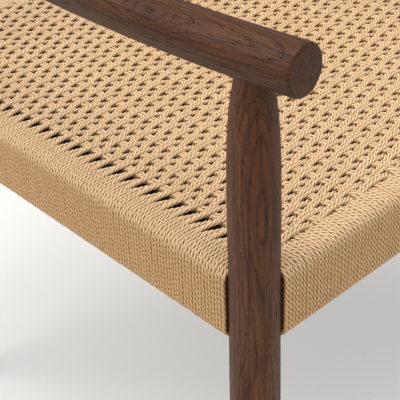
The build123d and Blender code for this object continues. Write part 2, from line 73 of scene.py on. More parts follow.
class Shader:
    """A small helper that lays out one material's nodes."""

    def __init__(self, name: str) -> None:
        """Starts an empty node material.

        Args:
            name: the material's name.
        """
        self.material = bpy.data.materials.new(name)
        self.material.use_nodes = True
        self.tree = self.material.node_tree
        self.tree.nodes.clear()
        self.surface = self.tree.nodes.new("ShaderNodeBsdfPrincipled")
        output = self.tree.nodes.new("ShaderNodeOutputMaterial")
        self.tree.links.new(self.surface.outputs[0], output.inputs["Surface"])

    def node(self, kind: str, inputs: dict | None = None, **settings: object) -> bpy.types.Node:
        """Adds a node.

        Args:
            kind: the node's type.
            inputs: values or sockets by input name or number.
            settings: the node's own properties.

        Returns:
            The new node.
        """
        made = self.tree.nodes.new(kind)
        for key, value in settings.items():
            setattr(made, key, value)
        for key, value in (inputs or {}).items():
            self.feed(made.inputs[key], value)
        return made

    def feed(self, socket: Socket, value: object) -> None:
        """Links a socket to another one, or gives it a value.

        Args:
            socket: the input to feed.
            value: an output socket or a plain value.
        """
        if isinstance(value, Socket):
            self.tree.links.new(value, socket)
        else:
            socket.default_value = value

    def math(
        self, operation: str, first: object, second: object = 0.0, clamp: bool = False
    ) -> Socket:
        """Adds a math node and returns its output.

        Args:
            operation: what it does, such as MULTIPLY.
            first: its first value or socket.
            second: its second value or socket.
            clamp: whether the result stays between 0 and 1.

        Returns:
            The output socket.
        """
        return self.node(
            "ShaderNodeMath", {0: first, 1: second}, operation=operation, use_clamp=clamp
        ).outputs[0]

    def spread(
        self, value: object, low: float, high: float, new_low: float = 0.0, new_high: float = 1.0
    ) -> Socket:
        """Maps a value's range to a new one, clamped.

        Args:
            value: the socket to map.
            low: start of the old range.
            high: end of the old range.
            new_low: start of the new range.
            new_high: end of the new range.

        Returns:
            The output socket.
        """
        inputs = {"Value": value, 1: low, 2: high, 3: new_low, 4: new_high}
        return self.node("ShaderNodeMapRange", inputs).outputs[0]

    def mix(self, factor: object, first: object, second: object, how: str = "MIX") -> Socket:
        """Mixes two colours and returns the result.

        Args:
            factor: how much of the second colour.
            first: first colour or socket.
            second: second colour or socket.
            how: the blend type.

        Returns:
            The output socket.
        """
        made = self.node("ShaderNodeMix", data_type="RGBA", blend_type=how)
        self.feed(made.inputs[0], factor)
        for socket, value in ((made.inputs[6], first), (made.inputs[7], second)):
            self.feed(socket, value if isinstance(value, Socket) else (*value, 1.0))
        return made.outputs[2]

    def noise(
        self, vector: object, scale: float, detail: float = 2.0, roughness: float = 0.5
    ) -> Socket:
        """Adds a noise texture and returns its value.

        Args:
            vector: coordinates.
            scale: noise cells to a unit.
            detail: octaves.
            roughness: strength of the finer octaves.

        Returns:
            The output socket.
        """
        inputs = {"Vector": vector, "Scale": scale, "Detail": detail, "Roughness": roughness}
        return self.node("ShaderNodeTexNoise", inputs).outputs[0]

    def stretched(self, vector: object, scale: Sequence[float]) -> Socket:
        """Scales coordinates by a different number along each axis.

        Args:
            vector: coordinates.
            scale: three factors.

        Returns:
            The output socket.
        """
        inputs = {0: vector, 1: tuple(scale)}
        return self.node("ShaderNodeVectorMath", inputs, operation="MULTIPLY").outputs[0]

    def away(self, vector: object, point: Point) -> Socket:
        """Measures coordinates from a point.

        Args:
            vector: coordinates.
            point: the point.

        Returns:
            The output socket.
        """
        inputs = {0: vector, 1: point}
        return self.node("ShaderNodeVectorMath", inputs, operation="SUBTRACT").outputs[0]

    def length(self, vector: object) -> Socket:
        """Returns the length of a vector."""
        return self.node("ShaderNodeVectorMath", {0: vector}, operation="LENGTH").outputs["Value"]

    def bump(self, height: object, distance: float, strength: float = 1.0) -> Socket:
        """Adds a bump and returns its normal.

        Args:
            height: the height socket.
            distance: height of a full step, in metres.
            strength: share of the effect.

        Returns:
            The output socket.
        """
        inputs = {"Height": height, "Distance": distance, "Strength": strength}
        return self.node("ShaderNodeBump", inputs).outputs[0]


# --------------------------------------------------------------------------- finishes


@dataclass(frozen=True)
class OakFinish:
    """Dark stained, oiled, open-pored oak with its grain along one direction.

    Attributes:
        grain: the direction of the grain.
        pith: a point on the middle line of the tree, which the rings lie round.
        tone: share of the full brightness.
        knot: the middle of a knot, if there is one.
        light: colour of the open wood.
        red: colour of the redder patches.
        dark: colour of the dense wood and the dark lines.
        pore: colour in the pores.
        ring: width of a year's ring.
        wander: slow sway of the rings.
        ripple: quick sway of the rings.
        knot_swell: how far a knot pushes the rings out.
        knot_falloff: how fast that fades along each axis, a metre.
        pore_depth: depth of the pores.
        roughness: of the oiled surface.
        specular: its specular level.
    """

    grain: Grain
    pith: Point
    tone: float = 1.0
    knot: Point | None = None
    light: Colour = (0.122, 0.050, 0.020)
    red: Colour = (0.094, 0.030, 0.0085)
    dark: Colour = (0.030, 0.010, 0.0035)
    pore: Colour = (0.012, 0.005, 0.003)
    ring: float = 2.1 * MM
    wander: float = 34.0 * MM
    ripple: float = 3.2 * MM
    knot_swell: float = 8.0 * MM
    knot_falloff: Point = (90.0, 48.0, 90.0)
    pore_depth: float = 0.16 * MM
    roughness: float = 0.50
    specular: float = 0.17

    def swell(self, s: Shader, place: Socket) -> Socket | float:
        """Measures how close each place is to the knot.

        Args:
            s: the material's node helper.
            place: coordinates.

        Returns:
            A value that falls from 1 at the knot to 0 away from it, or 0 without a knot.
        """
        if self.knot is None:
            return 0.0
        off = s.length(s.stretched(s.away(place, self.knot), self.knot_falloff))
        return s.math("EXPONENT", s.math("MULTIPLY", s.math("MULTIPLY", off, off), -1.0))

    def material(self, name: str) -> bpy.types.Material:
        """Builds the finish.

        Args:
            name: the material's name.

        Returns:
            The material.
        """
        s = Shader(name)
        place = s.node("ShaderNodeTexCoord").outputs["Object"]
        turned = s.node(
            "ShaderNodeVectorRotate",
            {"Vector": s.away(place, self.pith), "Rotation": self.grain.value},
            rotation_type="EULER_XYZ",
            invert=True,
        ).outputs[0]
        swell = self.swell(s, place)
        wander = s.noise(s.stretched(turned, (14.0, 14.0, 2.4)), 1.0, 2.0, 0.45)
        ripple = s.noise(s.stretched(turned, (60.0, 60.0, 9.0)), 1.0, 2.0, 0.5)
        radius = s.length(s.stretched(turned, (1.0, 1.0, 0.0)))
        radius = s.math("ADD", radius, s.math("MULTIPLY", wander, self.wander))
        radius = s.math("ADD", radius, s.math("MULTIPLY", ripple, self.ripple))
        radius = s.math("ADD", radius, s.math("MULTIPLY", swell, self.knot_swell))
        turns = s.math("DIVIDE", radius, self.ring)
        phase = s.math("FRACT", turns)
        early = s.math("SUBTRACT", 1.0, s.spread(phase, 0.04, 0.55), True)
        late = s.spread(phase, 0.45, 0.98)

        fibre = s.noise(s.stretched(turned, (2600.0, 2600.0, 70.0)), 1.0, 3.0, 0.6)
        pores = s.noise(s.stretched(turned, (2300.0, 2300.0, 150.0)), 1.0, 2.0, 0.55)
        pores_edge = s.math("SUBTRACT", 0.625, s.math("MULTIPLY", early, 0.15))
        pore = s.math("MULTIPLY", s.math("SUBTRACT", pores, pores_edge), 14.0, True)
        streak = s.noise(s.stretched(turned, (420.0, 420.0, 16.0)), 1.0, 3.0, 0.6)
        cloud = s.noise(s.stretched(turned, (38.0, 38.0, 7.0)), 1.0, 2.0, 0.5)

        base = s.mix(s.spread(cloud, 0.35, 0.68), self.light, self.red)
        base = s.mix(s.math("MULTIPLY", late, 0.34), base, self.dark)
        base = s.mix(s.spread(phase, 0.0, 0.14, 0.75, 0.0), base, self.dark)
        base = s.mix(s.spread(streak, 0.42, 0.66, 0.0, 0.80), base, self.dark)
        base = s.mix(s.spread(fibre, 0.35, 0.75, 0.0, 0.35), base, self.light)
        base = s.mix(s.math("MULTIPLY", pore, 0.60), base, self.pore)
        base = s.mix(s.math("MULTIPLY", s.math("POWER", swell, 3.0), 0.55), base, self.dark)
        base = s.mix(1.0, base, (self.tone, self.tone, self.tone), "MULTIPLY")
        s.feed(s.surface.inputs["Base Color"], base)

        rough = s.spread(fibre, 0.3, 0.7, self.roughness - 0.06, self.roughness + 0.08)
        rough = s.math("ADD", rough, s.math("MULTIPLY", pore, 0.25))
        s.feed(s.surface.inputs["Roughness"], rough)
        s.surface.inputs["Specular IOR Level"].default_value = self.specular
        height = s.math("SUBTRACT", s.math("MULTIPLY", fibre, 0.25), pore)
        s.feed(s.surface.inputs["Normal"], s.bump(height, self.pore_depth, 0.7))
        return s.material


@dataclass(frozen=True)
class CordFinish:
    """Three-ply paper cord. Its UV map runs once round the cord with the plies, and along it.

    Attributes:
        rail_top: height of the cord on the rails.
        crown: colour on the plies.
        shade: painted shade on the plies' flanks, also the colour of darker stretches of paper.
        groove: painted shade between the plies.
        rail_shade_tint: painted shade that darkens and warms the cord below the rail's top, down the
            rails' faces.
        rail_shade_fade: depths below rail_top at which that painted shade is complete and at which it
            starts.
        groove_depth: depth of the grooves in the surface's relief.
        fibre_relief: share of that depth for the twisted paper's creases.
        roughness: of the waxed paper.
        specular: its specular level.
        sheen: weight of its sheen.
        sheen_roughness: roughness of its sheen.
    """

    rail_top: float
    crown: Colour = (0.71, 0.505, 0.302)
    shade: Colour = (0.58, 0.385, 0.205)
    groove: Colour = (0.19, 0.090, 0.030)
    rail_shade_tint: Colour = (0.90, 0.80, 0.66)
    rail_shade_fade: tuple[float, float] = (9.0 * MM, 2.0 * MM)
    groove_depth: float = 0.42 * MM
    fibre_relief: float = 0.22
    roughness: float = 0.72
    specular: float = 0.28
    sheen: float = 0.12
    sheen_roughness: float = 0.5

    def material(self, name: str) -> bpy.types.Material:
        """Builds the finish.

        Args:
            name: the material's name.

        Returns:
            The material.
        """
        s = Shader(name)
        uv = s.node("ShaderNodeUVMap", uv_map=CordBundle.UV).outputs[0]
        parts = s.node("ShaderNodeSeparateXYZ", {0: uv}).outputs
        strand = s.node("ShaderNodeAttribute", attribute_name=CordBundle.STRAND).outputs["Fac"]
        place = s.node("ShaderNodeTexCoord").outputs["Object"]

        ply = s.math("FRACT", s.math("MULTIPLY", parts[0], float(CordBundle.PLIES)))
        bulge = s.math("SINE", s.math("MULTIPLY", ply, math.pi))
        crown = s.math("POWER", bulge, 0.55)

        fibre_at = s.node(
            "ShaderNodeCombineXYZ",
            {0: s.math("MULTIPLY", ply, 9.0), 1: s.math("MULTIPLY", parts[1], 160.0), 2: strand},
        ).outputs[0]
        fibre = s.noise(fibre_at, 1.0, 2.0, 0.6)
        tone_at = s.node(
            "ShaderNodeCombineXYZ",
            {0: s.math("MULTIPLY", parts[1], 22.0), 1: s.math("MULTIPLY", strand, 97.0), 2: 0.0},
        ).outputs[0]
        tone = s.noise(tone_at, 1.0, 2.0, 0.5)
        patch = s.noise(place, 16.0, 2.0, 0.5)

        # The plies' crowns keep the paper's colour. Their flanks and, more deeply, the grooves between
        # plies are painted shade. The three mixes after the first are the paper's random darker
        # stretches.
        base = s.mix(s.spread(bulge, 0.25, 0.95), self.shade, self.crown)
        base = s.mix(s.spread(fibre, 0.35, 0.8, 0.0, 0.35), base, self.shade)
        base = s.mix(s.spread(tone, 0.35, 0.75, 0.0, 0.30), base, self.shade)
        base = s.mix(s.spread(patch, 0.3, 0.7, 0.0, 0.14), base, self.shade)
        base = s.mix(s.spread(bulge, 0.0, 0.42, 0.90, 0.0), base, self.groove)
        # Painted shade: cord below the rail's top, on the rails' faces and in the seat's sagging
        # middle, is made darker and warmer.
        height = s.node("ShaderNodeSeparateXYZ", {0: place}).outputs[2]
        low, high = (self.rail_top - drop for drop in self.rail_shade_fade)
        down = s.spread(height, low, high, 1.0, 0.0)
        base = s.mix(down, base, s.mix(1.0, base, self.rail_shade_tint, "MULTIPLY"))
        s.feed(s.surface.inputs["Base Color"], base)
        s.surface.inputs["Roughness"].default_value = self.roughness
        s.surface.inputs["Specular IOR Level"].default_value = self.specular
        s.surface.inputs["Sheen Weight"].default_value = self.sheen
        s.surface.inputs["Sheen Roughness"].default_value = self.sheen_roughness
        relief = s.math("ADD", crown, s.math("MULTIPLY", fibre, self.fibre_relief))
        s.feed(s.surface.inputs["Normal"], s.bump(relief, self.groove_depth))
        return s.material


@dataclass(frozen=True)
class PlainFinish:
    """A small part's finish: a colour that varies a little, with a fine surface of its own."""

    colour: Colour
    other: Colour
    roughness: float
    metallic: float = 0.0
    scale: float = 900.0
    relief: float = 0.04 * MM

    def material(self, name: str) -> bpy.types.Material:
        """Builds the finish.

        Args:
            name: the material's name.

        Returns:
            The material.
        """
        s = Shader(name)
        place = s.node("ShaderNodeTexCoord").outputs["Object"]
        grain = s.noise(place, self.scale, 3.0, 0.6)
        cloud = s.noise(place, self.scale / 12.0, 2.0, 0.5)
        mixed = s.mix(s.spread(cloud, 0.35, 0.7), self.colour, self.other)
        s.feed(s.surface.inputs["Base Color"], mixed)
        rough = s.spread(grain, 0.3, 0.7, self.roughness - 0.06, self.roughness + 0.08)
        s.feed(s.surface.inputs["Roughness"], rough)
        s.surface.inputs["Metallic"].default_value = self.metallic
        s.feed(s.surface.inputs["Normal"], s.bump(grain, self.relief, 0.5))
        return s.material


# --------------------------------------------------------------------------- cord


@dataclass
class CordRun:
    """One length of cord: its centre line and the direction its cross-section keeps to."""

    points: np.ndarray
    keep: np.ndarray
    radius: np.ndarray
    tone: float

    def along(self) -> np.ndarray:
        """Distance along the cord, at each of its points."""
        steps = np.linalg.norm(np.diff(self.points, axis=0), axis=1)
        return np.concatenate([[0.0], np.cumsum(steps)])


class CordBundle:
    """Many lengths of cord in one mesh, with a UV map that follows each of them."""

    UV = "cord"
    STRAND = "strand"
    PLIES = 3
    LEAD = 13.7 * MM
    GROOVE = 0.74

    def __init__(self, name: str) -> None:
        """Starts an empty bundle of cords with a corner on each ply and in each groove.

        Args:
            name: the piece's name.
        """
        self.name = name
        self.sides = 2 * self.PLIES
        self.runs: list[CordRun] = []

    def add(self, run: CordRun) -> None:
        """Adds a length of cord."""
        self.runs.append(run)

    def rings(self, run: CordRun) -> np.ndarray:
        """Places the cross-sections of one run, which turn with the plies.

        Args:
            run: the length of cord.

        Returns:
            Points as rings, corners and coordinates.
        """
        tangent = np.gradient(run.points, axis=0)
        tangent /= np.linalg.norm(tangent, axis=1, keepdims=True)
        first = run.keep - tangent * (tangent @ run.keep)[:, None]
        first /= np.linalg.norm(first, axis=1, keepdims=True)
        second = np.cross(tangent, first)
        corners = np.arange(self.sides)
        twist = (run.along() / self.LEAD + run.tone * self.sides) * 2 * np.pi
        angles = corners[None, :] * 2 * np.pi / self.sides - twist[:, None]
        lobes = np.where(corners % 2 == 0, self.GROOVE, 1.0)
        radius = run.radius[:, None, None] * lobes[None, :, None]
        offset = (
            first[:, None, :] * np.cos(angles)[:, :, None]
            + second[:, None, :] * np.sin(angles)[:, :, None]
        )
        return run.points[:, None, :] + radius * offset

    def strip(self, length: np.ndarray, start: int) -> tuple[np.ndarray, np.ndarray]:
        """Joins the cross-sections of one run with four-sided faces.

        Args:
            length: distance along the cord, at each cross-section.
            start: number of the run's first point in the mesh.

        Returns:
            The faces as point numbers, and a UV for each of their corners.
        """
        count = len(length) - 1
        corner = np.arange(self.sides)
        following = (corner + 1) % self.sides
        low = start + np.arange(count)[:, None] * self.sides
        high = low + self.sides
        quads = np.stack([low + corner, low + following, high + following, high + corner], axis=2)
        u = np.broadcast_to(corner / self.sides, (count, self.sides))
        u_next = u + 1 / self.sides
        v = np.broadcast_to(length[:, None], (count + 1, self.sides))
        pairs = ((u, v[:-1]), (u_next, v[:-1]), (u_next, v[1:]), (u, v[1:]))
        uv = np.stack([np.stack(pair, axis=2) for pair in pairs], axis=2)
        return quads.reshape(-1, 4), uv.reshape(-1, 2)

    def build(self, material: bpy.types.Material) -> bpy.types.Object:
        """Makes the mesh.

        Args:
            material: the cord's finish.

        Returns:
            The finished object, at the origin.
        """
        places, faces, uvs, strands = [], [], [], []
        start = 0
        corner = np.arange(self.sides)
        for run in self.runs:
            rings = self.rings(run)
            quads, uv = self.strip(run.along(), start)
            last = start + (len(rings) - 1) * self.sides
            places.append(rings.reshape(-1, 3))
            faces.extend(quads.tolist())
            faces.append((start + corner[::-1]).tolist())
            faces.append((last + corner).tolist())
            uvs += [uv, np.zeros((2 * self.sides, 2))]
            strands.append(np.full(len(rings) * self.sides, run.tone))
            start = last + self.sides
        mesh = bpy.data.meshes.new(self.name)
        mesh.from_pydata(np.concatenate(places).tolist(), [], faces)
        mesh.uv_layers.new(name=self.UV)
        mesh.uv_layers[self.UV].data.foreach_set("uv", np.concatenate(uvs).astype(np.float32).ravel())
        strand = mesh.attributes.new(self.STRAND, "FLOAT", "POINT")
        strand.data.foreach_set("value", np.concatenate(strands).astype(np.float32))
        mesh.polygons.foreach_set("use_smooth", [len(f) == 4 for f in faces])
        mesh.materials.append(material)
        mesh.update()
        piece = bpy.data.objects.new(self.name, mesh)
        bpy.context.scene.collection.objects.link(piece)
        return piece


@dataclass
class Rail:
    """The section of a corded rail, in its own inward and upward directions."""

    outer: float
    inner: float
    low: float
    high: float
    bend: float
    nail: float

    @staticmethod
    def arc(x: float, z: float, bend: float, first: float) -> list[tuple[float, float]]:
        """A quarter turn of the cord round one corner, clockwise.

        Args:
            x: inward distance of the corner's middle.
            z: height of the corner's middle.
            bend: the cord's radius there.
            first: direction of the first point from the middle, in degrees.

        Returns:
            Points as inward distance and height.
        """
        steps = 5
        angles = [math.radians(first - 90.0 * step / steps) for step in range(steps + 1)]
        return [(x + bend * math.cos(angle), z + bend * math.sin(angle)) for angle in angles]

    def turn(self) -> np.ndarray:
        """The cord's way round the rail, from the nail on the inner face to the top.

        Returns:
            Points as inward distance and height.
        """
        corners = (
            (self.inner - self.bend, self.low + self.bend, 0.0),
            (self.outer + self.bend, self.low + self.bend, -90.0),
            (self.outer + self.bend, self.high - self.bend, -180.0),
        )
        way = [(self.inner, self.nail), (self.inner, (self.nail + self.low + self.bend) / 2)]
        for x, z, first in corners:
            way += self.arc(x, z, self.bend, first)
        return np.array(way)

    def inner_top(self) -> np.ndarray:
        """The way from the top over the inner edge and down, for a turn that closes.

        Returns:
            Points as inward distance and height.
        """
        way = self.arc(self.inner - self.bend, self.high - self.bend, self.bend, 90.0)
        return np.array(way + [(self.inner, self.nail)])


def resample(points: np.ndarray, spacing: float) -> np.ndarray:
    """Adds points along the straight runs of a line.

    Args:
        points: the line.
        spacing: longest step left.

    Returns:
        The finer line, with its own points kept.
    """
    out = [points[:1]]
    for a, b in zip(points[:-1], points[1:]):
        count = max(1, int(math.ceil(np.linalg.norm(b - a) / spacing)))
        out.append(a + (b - a) * (np.arange(1, count + 1) / count)[:, None])
    return np.concatenate(out)


@dataclass
class WovenSeat:
    """The woven field and the turns of cord round the four rails.

    Attributes:
        cord: radius of a strand in the field.
        rail_cord: radius of a weft where it is pulled round a side rail.
        clearance: gap between cord and rail.
        rail_bend: the rail's edge radius.
        nail_drop: depth of the nails below the rail's top.
        warps: pairs of warps.
        first_warp: the first pair's distance from the front leg's axis.
        fan: how much narrower the warps stand to the rear, a metre.
        rows: pairs of wefts.
        first_row: the first weft's distance from the front legs' axes.
        flat: half-width of the bare place on a rail beside a leg.
        field_edge: where a weft leaves its rail, inside the rail's axis.
        lift: height of a weft's wave.
        warp_lift: height of a warp's wave.
        pair: half the spacing of a pair where it crosses another.
        pinch: half the spacing of a weft pair between two warps.
        edge_pinch: the same beside a side rail.
        roll: how far a pinched pair's front cord stands up and its back cord down.
        edge_roll: the same beside a side rail.
        crest: power that flattens a weft's crests.
        neck: power that shapes the way into a pinch.
        stray: largest sideways sway of a strand.
        sag: depth of the seat's middle.
        dish_margin: edge of the seat that stays level, across and along.
        dish_power: how flat the sagging middle is, across and along.
        rise: how much the first and last rows stand up.
        rise_start: distance from the legs' axes up to which they stand up fully.
        rise_run: length over which the rise fades.
        settle_run: length in which a warp comes from its rail into the field.
        edge_drop: share of a weft's wave that is lost at the first and last rows.
        taper_run: length in which a weft comes to its full radius.
        wraps_between: turns between two warp pairs on the front and rear rails.
        wrap_room: least room for a turn beside a leg, in cord radii.
        step: spacing of the points along a strand.
        warp_step: a warp's spacing of points, as a share of the step.
        longest: the longest step left, as a share of the step.
        sway_points: points of a strand between two of its random shifts.
        weft_groups: meshes that the wefts are shared among.
        seed: start of the random draws.
    """

    cord: float = 1.82 * MM
    rail_cord: float = 1.63 * MM
    clearance: float = 0.1 * MM
    rail_bend: float = 6.0 * MM
    nail_drop: float = 25.0 * MM
    warps: int = 25
    first_warp: float = 26.6 * MM
    fan: float = 0.0836
    rows: int = 71
    first_row: float = 6.2 * MM
    flat: float = 12.4 * MM
    field_edge: float = 2.0 * MM
    lift: float = 2.05 * MM
    warp_lift: float = 1.50 * MM
    pair: float = 1.70 * MM
    pinch: float = 1.68 * MM
    edge_pinch: float = 1.12 * MM
    roll: float = 0.35 * MM
    edge_roll: float = 0.72 * MM
    crest: float = 1.5
    neck: float = 0.9
    stray: float = 0.24 * MM
    sag: float = 6.0 * MM
    dish_margin: tuple[float, float] = (10.0 * MM, 8.0 * MM)
    dish_power: tuple[float, float] = (2.6, 2.2)
    rise: float = 1.0 * MM
    rise_start: float = 8.0 * MM
    rise_run: float = 9.0 * MM
    settle_run: float = 12.0 * MM
    edge_drop: float = 0.25
    taper_run: float = 8.0 * MM
    wraps_between: int = 4
    wrap_room: float = 1.9
    step: float = 1.75 * MM
    warp_step: float = 0.96
    longest: float = 1.15
    sway_points: int = 7
    weft_groups: int = 8
    seed: int = 7
    rng: np.random.Generator = field(init=False)

    def __post_init__(self) -> None:
        """Takes the corner posts' axes and the rails' sections from the frame."""
        self.rng = np.random.default_rng(self.seed)
        self.corner = self.middle("glide_front_right")
        self.back = self.middle("glide_rear_right")
        self.run = self.back.y - self.corner.y
        self.inset = self.back.x - self.corner.x
        self.half = -self.corner.x
        low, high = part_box("seat_rail_front")
        gap = self.cord + self.clearance
        self.rail = Rail(
            outer=low.y - self.corner.y - gap,
            inner=high.y - self.corner.y + gap,
            low=low.z - gap,
            high=high.z + gap,
            bend=self.rail_bend + gap,
            nail=high.z - self.nail_drop,
        )
        self.pitch = (self.run - 2 * self.first_row) / self.rows

    @staticmethod
    def middle(node: str) -> Vector:
        """The middle of a node's box."""
        low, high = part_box(node)
        return (low + high) / 2

    def warp_x(self, number: float, y: np.ndarray) -> np.ndarray:
        """A warp pair's distance from the right front leg's axis, across the seat.

        Args:
            number: the pair, from 0 at the sitter's right.
            y: distance behind the front legs' axes.

        Returns:
            The distance, for each y.
        """
        spacing = (self.half - self.first_warp) / ((self.warps - 1) / 2)
        from_middle = self.half - self.first_warp - spacing * number
        return self.half - from_middle * (1 - self.fan * y)

    def rail_x(self, y: np.ndarray) -> np.ndarray:
        """The right side rail's axis line, across from the front leg's axis."""
        return self.inset * y / self.run

    def plane_z(self, x: np.ndarray, y: np.ndarray) -> np.ndarray:
        """Height of the middle of the weave.

        Args:
            x: distance from the right front leg's axis.
            y: distance behind it.

        Returns:
            The height.
        """
        margin_x, margin_y = self.dish_margin
        power_x, power_y = self.dish_power
        across = np.clip(np.abs(x - self.half) / (self.half - margin_x), 0, 1)
        along = np.clip(np.abs(y - self.run / 2) / (self.run / 2 - margin_y), 0, 1)
        return self.rail.high - self.sag * (1 - across**power_x) * (1 - along**power_y)

    def wobble(self, count: int, size: float) -> np.ndarray:
        """A slow random sway along one cord.

        Args:
            count: points of the cord.
            size: largest shift.

        Returns:
            A shift for each point.
        """
        knots = max(4, count // self.sway_points)
        values = self.rng.uniform(-size, size, knots)
        return np.interp(np.linspace(0, knots - 1, count), np.arange(knots), values)

    def world(self, x: np.ndarray, y: np.ndarray, z: np.ndarray) -> np.ndarray:
        """Joins distances from the right front leg's axis into points of the frame."""
        return np.stack([self.corner.x + x, self.corner.y + y, z], axis=1)

    def eased(self, value: np.ndarray) -> np.ndarray:
        """A cosine made flatter on its crests."""
        return np.sign(value) * (1 - (1 - np.abs(value)) ** self.crest)

    def weft(self, row: int, which: int) -> CordRun:
        """One cord from side rail to side rail.

        Args:
            row: the pair, from 0 at the front.
            which: 0 for the pair's front cord and 1 for its back cord.

        Returns:
            The run, with its turns round both side rails.
        """
        number = 2 * row + which
        last = 2 * self.rows - 1
        side_y = self.flat + self.cord + number / last * (self.run - 2 * (self.flat + self.cord))
        field_y = self.first_row + (row + 0.5) * self.pitch
        sign = -1 if which == 0 else 1

        half_turn = self.rail.turn()
        edge = self.rail_x(side_y) + self.field_edge
        first = float(self.warp_x(0, np.array(field_y)))
        gap = float(self.warp_x(1, np.array(field_y))) - first
        xs = np.arange(edge, self.half, self.step)
        xs = np.concatenate([xs, [self.half]])
        phase = (xs - first) / gap
        side = np.clip((xs - edge) / (first - edge), 0, 1)
        over = 1 if (row + 1) % 2 == 0 else -1
        wave = self.eased(np.cos(np.pi * phase)) * over
        near = over * (1 - np.cos(np.pi * side)) / 2
        wave = np.where(phase < 0, near, wave)
        crossing = np.abs(np.cos(np.pi * phase)) ** self.neck
        near_pinch = 1 - np.sin(np.pi * side**self.neck)
        crossing = np.where(phase < 0, near_pinch, crossing)
        tight = np.where(phase < 0, self.edge_pinch, self.pinch)
        rolled = np.where(phase < 0, self.edge_roll, self.roll)
        half_gap = tight + (self.pair - tight) * crossing
        lifted = -sign * rolled * (1 - crossing)
        settle = side * side * (3 - 2 * side)
        ys = (field_y + sign * half_gap) * settle + side_y * (1 - settle)
        from_edge = min(field_y, self.run - field_y)
        edge_lift = 1.0 - self.edge_drop * np.exp(-from_edge / self.settle_run)
        zs = self.plane_z(xs, np.full_like(xs, field_y)) + self.lift * edge_lift * wave + lifted
        zs += self.edge_rise(np.full_like(xs, field_y)) * settle

        turn_x = self.rail_x(side_y) + half_turn[:, 0]
        x = np.concatenate([turn_x, xs])
        y = np.concatenate([np.full(len(turn_x), side_y), ys])
        z = np.concatenate([half_turn[:, 1], zs])
        # the left half mirrors the right one, because the number of warps is odd
        x = np.concatenate([x, (2 * self.half - x[:-1])[::-1]])
        y = np.concatenate([y, y[:-1][::-1]])
        z = np.concatenate([z, z[:-1][::-1]])
        points = self.finer(self.world(x, y, z))
        points[:, 1] += self.wobble(len(points), self.stray)
        from_right = points[:, 0] - self.corner.x
        right = np.clip((from_right - edge) / self.taper_run, 0, 1)
        left = np.clip((2 * self.half - from_right - edge) / self.taper_run, 0, 1)
        radius = self.rail_cord + (self.cord - self.rail_cord) * right * left
        return CordRun(points, np.array([0.0, 1.0, 0.0]), radius, self.rng.random())

    def edge_rise(self, y: np.ndarray) -> np.ndarray:
        """How much the first and last rows stand up on the front and rear rails."""
        from_edge = np.minimum(y, self.run - y)
        return self.rise * np.exp(-np.maximum(from_edge - self.rise_start, 0) / self.rise_run)

    def warp(self, number: int, which: int) -> CordRun:
        """One cord from front rail to rear rail.

        Args:
            number: the pair, from 0 at the sitter's right.
            which: 0 for the pair's right cord and 1 for its left cord.

        Returns:
            The run, with its turns round both rails.
        """
        sign = -1 if which == 0 else 1
        turn = self.rail.turn()
        ys = np.arange(self.field_edge, self.run - self.field_edge, self.step * self.warp_step)
        row = (ys - self.first_row) / self.pitch - 0.5
        parity = 1 if number % 2 == 0 else -1
        wave = np.cos(np.pi * row) * parity
        centre = self.warp_x(number, ys)
        edge = np.clip(np.minimum(ys, self.run - ys) / self.settle_run, 0, 1)
        settle = edge * edge * (3 - 2 * edge)
        zs = self.plane_z(centre, ys) + self.warp_lift * wave * settle + self.edge_rise(ys) * settle
        spread = self.rail_spread(ys)
        xs = centre + sign * (self.pair * settle + spread * (1 - settle))
        front_x = float(xs[0])
        rear_x = float(xs[-1])
        x = np.concatenate([np.full(len(turn), front_x), xs, np.full(len(turn), rear_x)])
        y = np.concatenate([turn[:, 0], ys, self.run - turn[::-1, 0]])
        z = np.concatenate([turn[:, 1], zs, turn[::-1, 1]])
        points = self.finer(self.world(x, y, z))
        points[:, 0] += self.wobble(len(points), self.stray)
        radius = np.full(len(points), self.cord)
        return CordRun(points, np.array([1.0, 0.0, 0.0]), radius, self.rng.random())

    def finer(self, points: np.ndarray) -> np.ndarray:
        """Adds points so that the cord's twist stays smooth."""
        return resample(points, self.step * self.longest)

    def rail_spread(self, y: np.ndarray) -> np.ndarray:
        """Half the spacing of the cords on the front or rear rail, at a depth."""
        spacing = self.warp_x(1, y) - self.warp_x(0, y)
        return spacing / (self.wraps_between + 2) / 2

    def wrap_places(self, y: float) -> list[float]:
        """Where the turns between the warps stand on the front or rear rail.

        Args:
            y: the rail's depth.

        Returns:
            Distances from the right front leg's axis.
        """
        at = np.array([y])
        spacing = 2 * float(self.rail_spread(at)[0])
        places = []
        for number in range(self.warps - 1):
            start = float(self.warp_x(number, at)[0]) + spacing / 2
            places += [start + spacing * (k + 1) for k in range(self.wraps_between)]
        first = float(self.warp_x(0, at)[0]) - spacing / 2
        edge = float(self.rail_x(at)[0]) + self.flat + self.cord
        room = first - spacing / 2 - (edge - self.cord)
        count = int(room / (self.wrap_room * self.cord))
        for k in range(count):
            x = edge + k * (room / count)
            places += [x, 2 * self.half - x]
        return places

    def wrap(self, x: float, rear: bool) -> CordRun:
        """One closed turn round the front or rear rail.

        Args:
            x: its distance from the right front leg's axis.
            rear: whether it is on the rear rail.

        Returns:
            The run.
        """
        way = np.concatenate([self.rail.turn(), self.rail.inner_top()])
        y = self.run - way[:, 0] if rear else way[:, 0]
        points = self.world(np.full(len(way), x), y, way[:, 1])
        points = self.finer(points)
        points[:, 0] += self.wobble(len(points), self.stray)
        radius = np.full(len(points), self.cord)
        return CordRun(points, np.array([1.0, 0.0, 0.0]), radius, self.rng.random())

